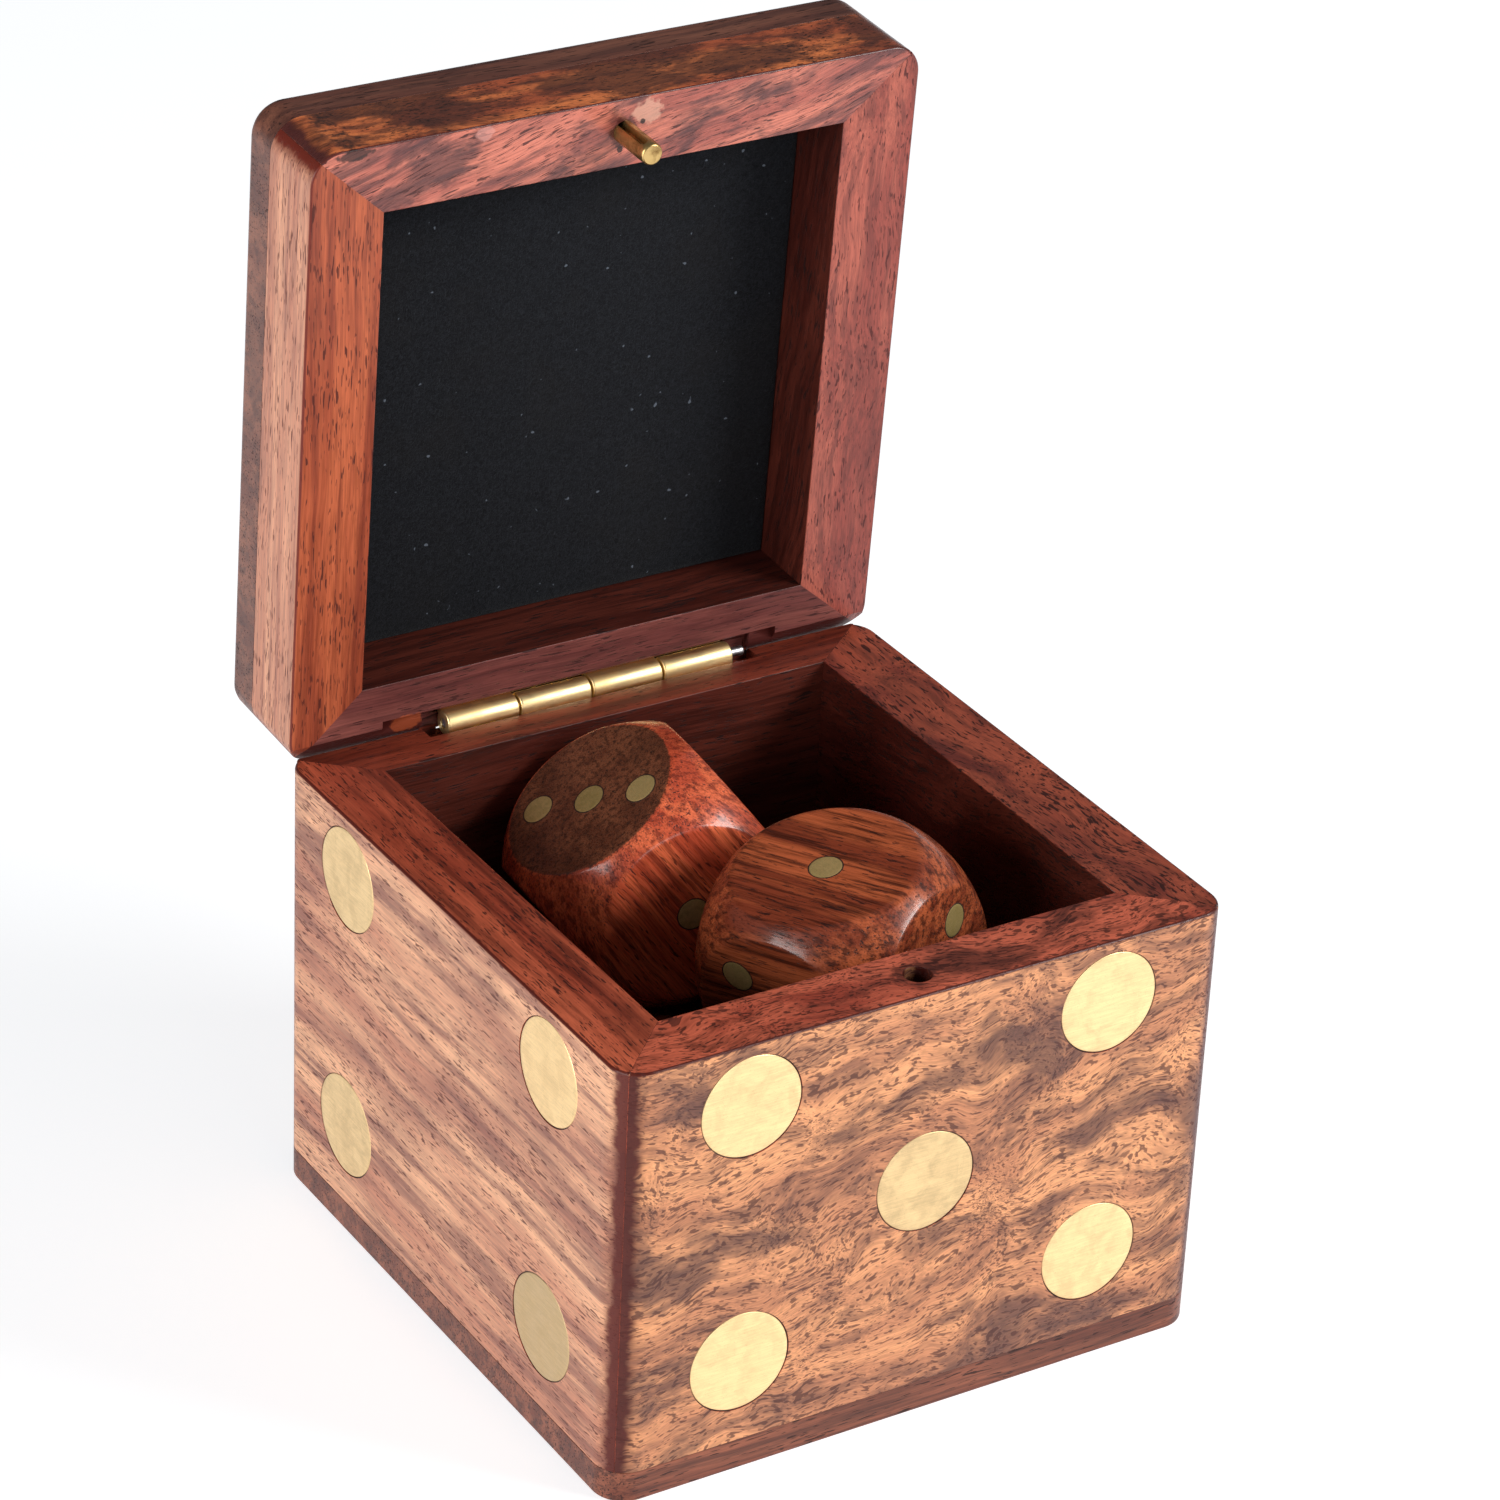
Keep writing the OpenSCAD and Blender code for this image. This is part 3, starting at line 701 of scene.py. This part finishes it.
def islands(node):
    """The separate solids of a CAD node: middle and vertices of each, in millimetres."""
    bm = bmesh.new()
    bm.from_mesh(NODES[node].data)
    bmesh.ops.remove_doubles(bm, verts=bm.verts, dist=2e-6)
    bm.verts.ensure_lookup_table()
    seen, out = set(), []
    for v in bm.verts:
        if v.index in seen:
            continue
        stack, pts = [v], []
        seen.add(v.index)
        while stack:
            a = stack.pop()
            pts.append(a.co / MM)
            for e in a.link_edges:
                b = e.other_vert(a)
                if b.index not in seen:
                    seen.add(b.index)
                    stack.append(b)
        lo = Vector([min(p[i] for p in pts) for i in range(3)])
        hi = Vector([max(p[i] for p in pts) for i in range(3)])
        mean = Vector((0, 0, 0))
        for p in pts:
            mean += p
        out.append((mean / len(pts), pts, lo, hi))
    bm.free()
    out.sort(key=lambda t: (round(t[0].z, 2), round(t[0].x, 2), round(t[0].y, 2)))
    return out


for i, (centre, turn, s2, s3) in enumerate(DICE):
    c = Vector(centre)
    r = Euler([math.radians(a) for a in turn], "XYZ").to_matrix()
    bm = die_mesh(DIE_HALF, DIE_BALL)
    for v in bm.verts:
        p = v.co / MM
        # hand-sanded, so that no face is quite flat and no ball quite round
        p = p * (1 - 0.0035 * (0.5 + 0.5 * noise.noise(p * 0.11 + Vector((i * 7.1, 3, 9)))))
        v.co = (r @ p + c) * MM
    me = bpy.data.meshes.new(f"die_{i + 1}_body")
    bm.to_mesh(me)
    bm.free()
    o = link_new(f"die_{i + 1}_body", me)
    me.materials.append(M_dice[i])
    for q in me.polygons:
        q.use_smooth = True
    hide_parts(f"die_{i + 1}")
    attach(o, f"loose_die_{i + 1}")
    parts = []
    k = 0
    for mean, pts, lo, hi in islands(f"die_{i + 1}_pips"):
        q = r.transposed() @ (mean - c)
        axis = max(range(3), key=lambda a: abs(q[a]))
        nrm = Vector([0, 0, 0])
        nrm[axis] = math.copysign(1, q[axis])
        flat_q = q.copy()
        flat_q[axis] = math.copysign(DIE_HALF, q[axis])
        # the sanded face lies a little under the nominal one
        shrink = 1 - 0.0035 * (0.5 + 0.5 * noise.noise(flat_q * 0.11 + Vector((i * 7.1, 3, 9))))
        flat_q = flat_q * shrink
        t = nrm.orthogonal().normalized()
        b = nrm.cross(t)

        def place(v, flat_q=flat_q, nrm=nrm, t=t, b=b):
            return (r @ (flat_q + t * v.x + b * v.y + nrm * v.z) + c) * MM

        R = DIE_PIP_R
        top = [(0, 0.022), (R * 0.5, 0.022), (R * 0.85, 0.018), (R - 0.10, 0.012), (R - 0.03, -0.01), (R - 0.02, -0.2)]
        ringp = [(R - 0.06, 0.006), (R + 0.05, 0.008), (R + 0.09, -0.02), (R + 0.09, -0.2)]
        v, f = lathe(top, place, 40)
        k += 1
        parts.append((v, f, 0, 0.3 + 0.5 * ((k * 37 + i * 11) % 10) / 10))
        v, f = lathe(ringp, place, 40)
        parts.append((v, f, 1, 0.5))
    verts, faces, index, tone = merge(parts)
    add_mesh(f"die_{i + 1}_brass", verts, faces, [M_diepip, M_gap], f"loose_die_{i + 1}", (f"die_{i + 1}_pips",), indices=index, tone=tone)


# -------------------------------------------------------------- brass pips

def disc_profile(r, t):
    return [(0, 0.0), (r * 0.35, 0.0), (r * 0.7, -0.003), (r * 0.92, -0.012), (r - 0.10, -0.022), (r - 0.04, -0.05), (r - 0.015, -0.10), (r, -0.2), (r, -t)]


TONES = {"front_pips": [0.30, 0.34, 0.62, 0.32, 0.30], "left_pips": [0.98, 0.50, 0.30, 0.46]}


def pip_set(node, body, normal, lid=False):
    parts = []
    nrm = Vector(normal)
    for k, (mean, pts, lo, hi) in enumerate(islands(node)):
        top = max(p.dot(nrm) for p in pts)
        centre = mean + nrm * (top - mean.dot(nrm))
        t = nrm.orthogonal().normalized()
        b = nrm.cross(t)
        wob = [0.03 * math.sin(3 * a + k) for a in (0, 1)]

        def place(v, centre=centre, t=t, b=b, k=k):
            a = math.atan2(v.y, v.x)
            s = 1 - 0.004 - 0.005 * math.sin(3 * a + 1.7 * k) * (1 if v.length > 0.1 else 0)
            return (centre + t * (v.x * s) + b * (v.y * s) + nrm * v.z) * MM

        v, f = lathe(disc_profile(PIP_R - 0.05, 1.6), place, 96)
        tones = TONES.get(node)
        parts.append((v, f, 0, tones[k % len(tones)] if tones else 0.3 + 0.35 * ((k * 7) % 5) / 5))
        v, f = lathe([(PIP_R - 0.10, -0.11), (PIP_R - 0.002, -0.07), (PIP_R - 0.002, -1.5)], place, 96)
        parts.append((v, f, 1, 0.5))
    verts, faces, index, tone = merge(parts)
    return add_mesh(node + "_discs", verts, faces, [M_pip, M_gap], body, (node,), indices=index, tone=tone, angle=50)


pip_set("front_pips", "box", (0, -1, 0))
pip_set("left_pips", "box", (-1, 0, 0))
pip_set("right_pips", "box", (1, 0, 0))
pip_set("back_pips", "box", (0, 1, 0))
pip_set("lid_pips", "lid", tuple((opened((0, 0, 1)) - opened((0, 0, 0))).normalized()))


# ------------------------------------------------------------------- hinge

KNUCKLE_LEN = (BARREL_LEN - 3 * KNUCKLE_GAP) / 4
LEAF_T, BORE_R = 0.65, 0.53


def knuckle_mesh(k, lid):
    """One knuckle: the leaf's edge rolled round the pin, with its ends eased."""
    seg, ease = 96, 0.20
    x0 = BARREL_X0 + k * (KNUCKLE_LEN + KNUCKLE_GAP)
    x1 = x0 + KNUCKLE_LEN - 0.05
    x0 += 0.05

    def reach(a):
        c, s = math.cos(a), math.sin(a)
        if s < 0 and c < 0 and (BARREL_R - LEAF_T) / -c <= BARREL_R:
            return min(BARREL_R / -c, 1.5 / -s)
        return BARREL_R

    left = [(x0, None, 0.0)] + [(x0 + ease * (1 - math.cos(math.pi / 2 * i / 4)), reach, ease * (1 - math.sin(math.pi / 2 * i / 4))) for i in range(5)]
    right = [(x0 + x1 - x, f, d) for x, f, d in reversed(left)]
    rings = left + right
    verts, faces = [], []
    for x, f, d in rings:
        for j in range(seg):
            a = 2 * math.pi * j / seg
            r = BORE_R if f is None else f(a) - d
            y, z = r * math.cos(a), r * math.sin(a)
            if lid:
                verts.append(opened((x, AXIS_Y + y, AXIS_Z - z)))
            else:
                verts.append(Vector((x, AXIS_Y + y, AXIS_Z + z)) * MM)
    n = len(rings)
    for i in range(n):
        for j in range(seg):
            q = (i * seg + j, i * seg + (j + 1) % seg, ((i + 1) % n) * seg + (j + 1) % seg, ((i + 1) % n) * seg + j)
            faces.append(q if lid else q[::-1])
    return verts, faces


def hinge_part(node, body, knuckles, lid):
    """A hinge half: the plate of the CAD part below the barrel, and the knuckles turned finer."""
    bm = clean_copy(node)
    co = opened((0, AXIS_Y, AXIS_Z + 1.47)) if lid else Vector((0, AXIS_Y, AXIS_Z - 1.47)) * MM
    no = (opened((0, AXIS_Y, AXIS_Z - 1)) - opened((0, AXIS_Y, AXIS_Z))).normalized() if lid else Vector((0, 0, 1))
    cut = bmesh.ops.bisect_plane(bm, geom=bm.verts[:] + bm.edges[:] + bm.faces[:], dist=1e-7, plane_co=co, plane_no=no, clear_outer=True)
    bmesh.ops.contextual_create(bm, geom=[e for e in cut["geom_cut"] if isinstance(e, bmesh.types.BMEdge)])
    bmesh.ops.holes_fill(bm, edges=[e for e in bm.edges if e.is_boundary], sides=0)
    for k in knuckles:
        v, f = knuckle_mesh(k, lid)
        made = [bm.verts.new(q) for q in v]
        for q in f:
            bm.faces.new([made[i] for i in q])
    bmesh.ops.recalc_face_normals(bm, faces=bm.faces)
    me = bpy.data.meshes.new(node + "_rolled")
    bm.to_mesh(me)
    bm.free()
    o = link_new(node + "_rolled", me)
    me.materials.clear()
    me.materials.append(M_hinge)
    for q in me.polygons:
        q.use_smooth = True
        q.material_index = 0
    me.set_sharp_from_angle(angle=math.radians(35))
    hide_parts(node)
    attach(o, body)
    return o


hinge_part("hinge_leaf_box", "box", (1, 3), False)
hinge_part("hinge_leaf_lid", "lid", (0, 2), True)

lo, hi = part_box("hinge_pin")
px0, px1 = lo.x / MM, hi.x / MM
pr = (hi.z - lo.z) / 2 / MM
pin_profile = [(0, px1), (pr * 0.45, px1 - 0.03), (pr * 0.8, px1 - 0.10), (pr * 0.97, px1 - 0.22), (pr * 0.985, px1 - 0.5),
               (pr * 0.985, px0 + 0.3), (pr * 0.9, px0 + 0.06), (pr * 0.6, px0), (0, px0)]
v, f = lathe(pin_profile, lambda p: Vector((p.z, AXIS_Y + p.x, AXIS_Z + p.y)) * MM, 40)
add_mesh("hinge_pin_wire", v, f, [M_steel], "box", ("hinge_pin",), angle=50)


# --------------------------------------------------------------------- peg

def make_peg():
    """A brass peg with a blunt, dished tip and a slot filed along its side."""
    pts = islands("catch_peg")[0][1]
    closed = [unopen(p * MM) for p in pts]
    zlo = min(p.z for p in closed)
    zhi = max(p.z for p in closed)
    cx = (min(p.x for p in closed) + max(p.x for p in closed)) / 2
    cy = (min(p.y for p in closed) + max(p.y for p in closed)) / 2
    R = PEG_R
    seg = 72
    # stations from the tip, which points down on the closed lid
    st = [(0.0, 0.0, -0.12), (0.0, 0.45, -0.10), (0.0, 0.72, -0.02), (0.0, 0.84, 0.0), (0.06, 0.93, 0.0), (0.2, 0.985, 0), (0.4, 1, 0), (0.62, 1, 0)]
    rows = [(zlo + a - b * 1.0, r * R) for a, r, b in st]
    z = zlo + 0.75
    while z < zlo + 5.2:
        rows.append((z, R))
        z += 0.14
    rows.append((zhi - 0.05, R))
    rows.append((zhi, R * 0.9))
    rows.append((zhi, 0.0))
    verts, faces, grid = [], [], []
    ang0 = math.radians(-114)
    for zz, rr in rows:
        if rr == 0:
            grid.append([len(verts)])
            verts.append(opened((cx, cy, zz)))
            continue
        row = []
        for i in range(seg):
            a = 2 * math.pi * i / seg
            d = math.atan2(math.sin(a - ang0), math.cos(a - ang0)) * R
            along = (zz - zlo)
            depth = 0.0
            if along > 0.7:
                end = min((along - 0.7) / 0.45, 1.0)
                half = 0.36 * math.sqrt(max(0.0, 1 - (1 - end) ** 2))
                if half > 0.02:
                    depth = 0.62 * max(0.0, 1 - (abs(d) / half) ** 4)
            wob = 1 + 0.012 * math.sin(2.1 * along + 2 * a)
            r2 = (rr - depth) * min(wob, 1.0)
            row.append(len(verts))
            verts.append(opened((cx + r2 * math.cos(a), cy + r2 * math.sin(a), zz)))
        grid.append(row)
    for a, b in zip(grid, grid[1:]):
        for i in range(seg):
            j = (i + 1) % seg
            if len(a) == 1:
                faces.append((a[0], b[j], b[i]))
            elif len(b) == 1:
                faces.append((a[i], a[j], b[0]))
            else:
                faces.append((a[i], a[j], b[j], b[i]))
    add_mesh("catch_peg_filed", verts, faces, [M_peg], "lid", ("catch_peg",), angle=40)


make_peg()


# -------------------------------------------------------------------- felt

def felt_slab(node, name, body, lid):
    """A felt pad cut by hand: a closed slab with a soft upper face and rounded, slightly uneven edges."""
    pts = [unopen(v.co) if lid else v.co / MM for v in NODES[node].data.vertices]
    lo = Vector([min(p[i] for p in pts) for i in range(3)])
    hi = Vector([max(p[i] for p in pts) for i in range(3)])
    n = 120
    verts, faces = [], []

    def add(u, w, z):
        verts.append(opened((u, w, z)) if lid else Vector((u, w, z)) * MM)

    face_z, back_z = (lo.z, hi.z) if lid else (hi.z, lo.z)
    sgn = 1 if lid else -1
    for layer in (0, 1):
        for i in range(n + 1):
            for j in range(n + 1):
                fu, fw = i / n, j / n
                u = lo.x + (hi.x - lo.x) * fu
                w = lo.y + (hi.y - lo.y) * fw
                e = min(min(fu, 1 - fu) * (hi.x - lo.x), min(fw, 1 - fw) * (hi.y - lo.y))
                edge = math.exp(-e / 0.25)
                if layer == 0:
                    k = noise.noise(Vector((u * 0.14, w * 0.14, 1.3))) * 0.5 + noise.noise(Vector((u * 0.9, w * 0.9, 4.3))) * 0.25
                    add(u, w, face_z + sgn * (0.06 + 0.05 * k + 0.16 * edge))
                else:
                    add(u, w, back_z)
    m = n + 1
    for layer in (0, 1):
        off = layer * m * m
        for i in range(n):
            for j in range(n):
                q = (off + i * m + j, off + (i + 1) * m + j, off + (i + 1) * m + j + 1, off + i * m + j + 1)
                up = (layer == 0) != lid
                faces.append(q if up else q[::-1])
    rim = [i * m for i in range(n)] + [n * m + j for j in range(n)] + [i * m + n for i in range(n, 0, -1)] + [j for j in range(n, 0, -1)]
    for a, b in zip(rim, rim[1:] + rim[:1]):
        q = (a, b, b + m * m, a + m * m)
        faces.append(q if lid else q[::-1])
    o = add_mesh(name, verts, faces, [M_felt], body, (node,), angle=60)
    bm = bmesh.new()
    bm.from_mesh(o.data)
    bmesh.ops.recalc_face_normals(bm, faces=bm.faces)
    bm.to_mesh(o.data)
    bm.free()
    return o, (hi.x - lo.x) * MM, (hi.y - lo.y) * MM


o, fw_, fl_ = felt_slab("lid_lining", "lid_felt", "lid", True)
o, fw_, fl_ = felt_slab("floor_lining", "floor_felt", "box", False)


# ------------------------------------------------------- floor, light, camera

def make_floor():
    net = Net("floor_paper")
    tc = net.t.nodes.new("ShaderNodeTexCoord")
    p = tc.outputs["Object"]
    k = net.noise(p, scale=3.0, detail=2.0)
    c = net.mix(k, (0.62, 0.625, 0.635, 1), (0.66, 0.663, 0.67, 1))
    net.put(net.bsdf.inputs["Base Color"], c)
    net.bsdf.inputs["Roughness"].default_value = 0.35
    net.bsdf.inputs["Specular IOR Level"].default_value = 0.2
    net.bsdf.inputs["Emission Color"].default_value = (0.96, 0.98, 1.0, 1)
    net.bsdf.inputs["Emission Strength"].default_value = 0.71
    me = bpy.data.meshes.new("floor")
    s = 6.0
    me.from_pydata([(-s, -s, 0), (s, -s, 0), (s, s, 0), (-s, s, 0)], [], [(0, 1, 2, 3)])
    o = link_new("floor", me)
    me.materials.append(net.mat)
    o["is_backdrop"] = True


make_floor()

world = bpy.data.worlds.new("studio")
scene.world = world
world.use_nodes = True
wt = world.node_tree
wt.nodes.clear()
w_out = wt.nodes.new("ShaderNodeOutputWorld")
w_mix = wt.nodes.new("ShaderNodeMixShader")
w_path = wt.nodes.new("ShaderNodeLightPath")
w_env = wt.nodes.new("ShaderNodeBackground")
w_cam = wt.nodes.new("ShaderNodeBackground")
w_env.inputs[0].default_value = (0.95, 0.97, 1.0, 1)
w_env.inputs[1].default_value = 0.16
w_cam.inputs[0].default_value = (1, 1, 1, 1)
w_cam.inputs[1].default_value = 1.0
wt.links.new(w_path.outputs["Is Camera Ray"], w_mix.inputs[0])
wt.links.new(w_env.outputs[0], w_mix.inputs[1])
wt.links.new(w_cam.outputs[0], w_mix.inputs[2])
wt.links.new(w_mix.outputs[0], w_out.inputs[0])


def area(name, place, aim, size, power, colour=(1, 1, 1), shape="RECTANGLE"):
    d = bpy.data.lights.new(name, "AREA")
    d.shape = shape
    d.size, d.size_y = size
    d.energy = power
    d.color = colour
    o = bpy.data.objects.new(name, d)
    scene.collection.objects.link(o)
    o.location = place
    o.rotation_euler = (Vector(aim) - Vector(place)).to_track_quat("-Z", "Y").to_euler()
    return o


area("light_left", (-0.62, -0.10, 0.20), (0, 0, 0.03), (0.34, 0.34), 2.6, (1.0, 0.99, 0.98))
area("light_right", (0.54, -0.46, 0.45), (0, 0, 0.04), (0.42, 0.30), 5.7, (1.0, 0.99, 0.97))
area("light_front", (-0.02, -0.62, 0.16), (0, 0, 0.03), (0.30, 0.20), 0.6, (1.0, 0.99, 0.98))

cam_data = bpy.data.cameras.new("camera")
cam = bpy.data.objects.new("camera", cam_data)
scene.collection.objects.link(cam)
CAM_AT = Vector((-0.2330045, -0.3632325, 0.2885408))
ROWS = ((0.8535988, -0.5192345, 0.0420079), (-0.2186397, -0.4302903, -0.8758121), (0.4728275, 0.7384076, -0.4808206))
right_, down_, ahead_ = (Vector(r) for r in ROWS)
m = Matrix.Identity(4)
for i in range(3):
    m[i][0], m[i][1], m[i][2], m[i][3] = right_[i], -down_[i], -ahead_[i], CAM_AT[i]
cam.matrix_world = m
cam_data.sensor_fit = "HORIZONTAL"
cam_data.sensor_width = 36.0
cam_data.lens = 36.0 * 5575.827 / 1500.0
cam_data.clip_start, cam_data.clip_end = 0.02, 20.0
scene.camera = cam

bpy.context.view_layer.update()
lo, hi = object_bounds()
{"cad_box_m": [list(CAD_BOX[0]), list(CAD_BOX[1])], "visual_box_m": [list(lo), list(hi)]}
